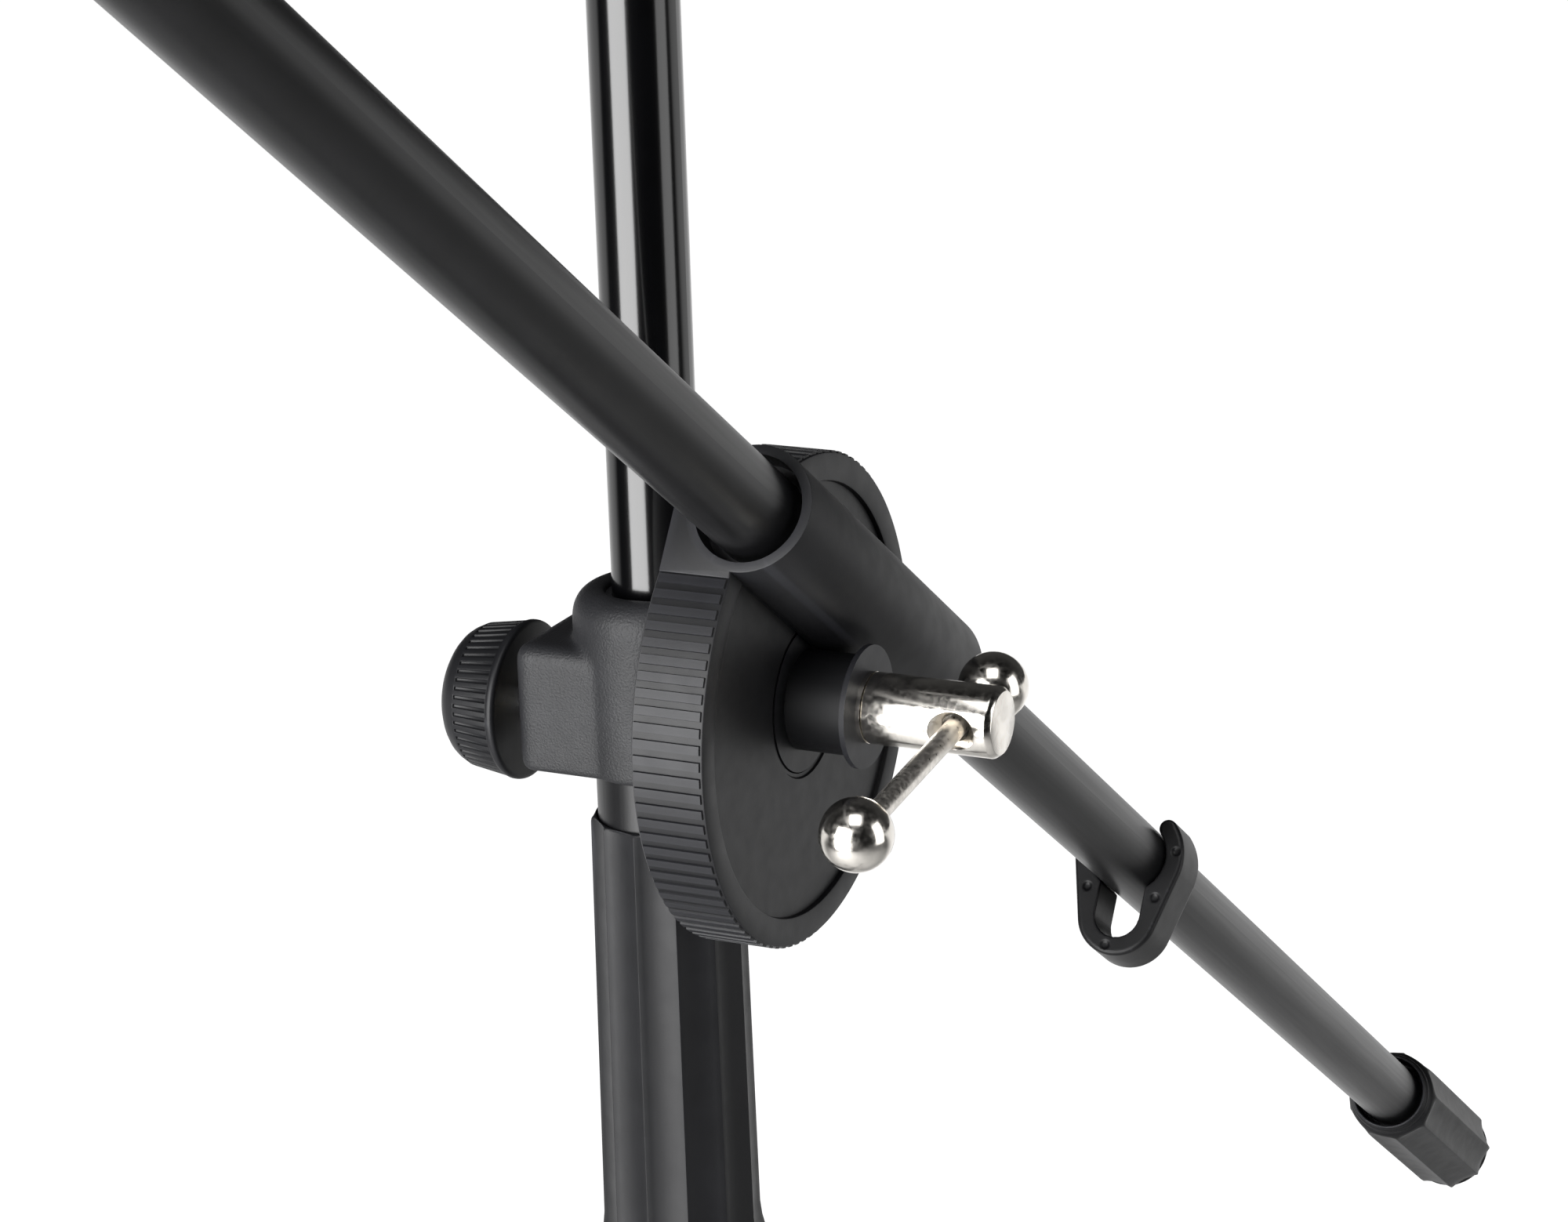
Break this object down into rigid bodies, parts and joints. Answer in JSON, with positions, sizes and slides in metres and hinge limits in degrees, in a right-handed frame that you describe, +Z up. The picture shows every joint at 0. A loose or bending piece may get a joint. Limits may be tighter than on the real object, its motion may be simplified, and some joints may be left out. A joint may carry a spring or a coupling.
{
  "type": "boom microphone stand",
  "caption": "Microphone stand: folding tripod, telescopic mast with a twist grip, clamp head, and a tilting, sliding boom locked by a chromed screw with a tommy bar.",
  "frame": {"origin": "on the floor under the mast's axis, at the centre of the stand's footprint box", "axes": "+Z up the mast; +X along the clutch axis towards the tommy bar; the boom's microphone end is towards -Y"},
  "size_m": [0.6156, 1.0806, 1.4118],
  "materials": {
    "tube_satin_black": "satin black powder coat",
    "rod_gloss_black": "gloss black lacquer",
    "cast_black": "fine textured black coat on a zinc casting",
    "moulded_black": "satin glass-filled nylon, slight moulding sheen",
    "textured_black": "spark-eroded texture",
    "clip_grey": "matt flexible plastic",
    "bright_nickel": "polished nickel plate",
    "zinc_steel": "zinc plated steel",
    "brass_insert": "turned",
    "black_rubber": "matt",
    "dark_nylon": "smooth acetal",
    "friction_fibre": "pressed fibre"
  },
  "bodies": {
    "base": {"tripod_hub": "cast_black", "leg_hinge_pins": "zinc_steel", "lower_tube_plug": "zinc_steel", "lower_tube": "tube_satin_black", "base_washer": "zinc_steel", "base_screw": "zinc_steel", "lower_tube_collar": "zinc_steel", "grip_collet": "dark_nylon"},
    "leg_rear": {"leg_rear_hinge_eye": "cast_black", "leg_rear_tube": "tube_satin_black", "leg_rear_foot": "black_rubber"},
    "leg_left": {"leg_left_hinge_eye": "cast_black", "leg_left_tube": "tube_satin_black", "leg_left_foot": "black_rubber"},
    "leg_right": {"leg_right_hinge_eye": "cast_black", "leg_right_tube": "tube_satin_black", "leg_right_foot": "black_rubber"},
    "twist_grip": {"twist_grip": "moulded_black"},
    "clamp_head": {"middle_tube": "tube_satin_black", "middle_tube_bush": "dark_nylon", "clamp_housing": "textured_black", "rod_bush_top": "dark_nylon", "rod_bush_bottom": "dark_nylon", "knob_insert": "brass_insert", "clutch_back_plate": "zinc_steel", "friction_disc": "friction_fibre", "clutch_nut": "zinc_steel"},
    "rod": {"rod_tube": "rod_gloss_black", "rod_end_plug": "moulded_black", "rod_stud": "bright_nickel"},
    "brake_shoe": {"rod_brake_shoe": "dark_nylon"},
    "rod_knob": {"rod_knob": "moulded_black", "rod_knob_screw": "zinc_steel"},
    "boom_head": {"boom_clutch": "moulded_black", "boom_liner_front": "dark_nylon", "boom_liner_rear": "dark_nylon", "clamp_plug": "moulded_black"},
    "screw_washer": {"screw_washer": "moulded_black"},
    "clamp_screw": {"screw_collar": "bright_nickel", "clamp_screw": "bright_nickel"},
    "tommy_bar": {"tommy_bar": "bright_nickel", "bar_ball_front": "bright_nickel", "bar_ball_rear": "bright_nickel"},
    "boom": {"boom_tube": "tube_satin_black", "boom_stud": "bright_nickel", "rear_cap": "moulded_black"},
    "cable_clip": {"cable_clip": "clip_grey"}
  },
  "joints": [
    {"name": "leg_rear_fold", "type": "hinge", "parent": "base", "child": "leg_rear", "pos_m": [0, 0.033, 0.097], "axis": [-1, 0, 0], "range_deg": [0, 75]},
    {"name": "leg_left_fold", "type": "hinge", "parent": "base", "child": "leg_left", "pos_m": [-0.02858, -0.0165, 0.097], "axis": [0.5, -0.866, 0], "range_deg": [0, 75]},
    {"name": "leg_right_fold", "type": "hinge", "parent": "base", "child": "leg_right", "pos_m": [0.02858, -0.0165, 0.097], "axis": [0.5, 0.866, 0], "range_deg": [0, 75]},
    {"name": "grip_turn", "type": "hinge", "parent": "base", "child": "twist_grip", "pos_m": [0, 0, 0.889], "axis": [0, 0, 1], "range_deg": [0, 120]},
    {"name": "mast_extend", "type": "slide", "parent": "base", "child": "clamp_head", "axis": [0, 0, 1], "range_m": [-0.009, 0.45]},
    {"name": "rod_slide", "type": "slide", "parent": "clamp_head", "child": "rod", "axis": [0, 0, 1], "range_m": [-0.3, 0.25]},
    {"name": "brake_shoe_slide", "type": "slide", "parent": "clamp_head", "child": "brake_shoe", "axis": [-1, 0, 0], "range_m": [0, 0.00126]},
    {"name": "rod_knob_turn", "type": "hinge", "parent": "brake_shoe", "child": "rod_knob", "pos_m": [-0.0443, 0, 0.992], "axis": [-1, 0, 0], "range_deg": [0, 360]},
    {"name": "boom_tilt", "type": "hinge", "parent": "clamp_head", "child": "boom_head", "pos_m": [0.0285, 0, 1], "axis": [1, 0, 0], "range_deg": [-40, 95]},
    {"name": "washer_slide", "type": "slide", "parent": "clamp_head", "child": "screw_washer", "axis": [1, 0, 0], "range_m": [0, 0.00176]},
    {"name": "clamp_screw_turn", "type": "hinge", "parent": "screw_washer", "child": "clamp_screw", "pos_m": [0.06, 0, 1], "axis": [1, 0, 0], "range_deg": [0, 360]},
    {"name": "tommy_bar_slide", "type": "slide", "parent": "clamp_screw", "child": "tommy_bar", "axis": [0, 0.9942, 0.108], "range_m": [0, 0.0409]},
    {"name": "boom_slide", "type": "slide", "parent": "boom_head", "child": "boom", "axis": [0, 0.8197, -0.5729], "range_m": [-0.1, 0.55]},
    {"name": "clip_slide", "type": "slide", "parent": "boom", "child": "cable_clip", "axis": [0, 0.8197, -0.5729], "range_m": [-0.06, 0.28]}
  ],
  "couplings": [
    {"joint": "brake_shoe_slide", "follows": "rod_knob_turn", "m_per_rad": 0.00019894},
    {"joint": "washer_slide", "follows": "clamp_screw_turn", "m_per_rad": 0.00027852}
  ]
}
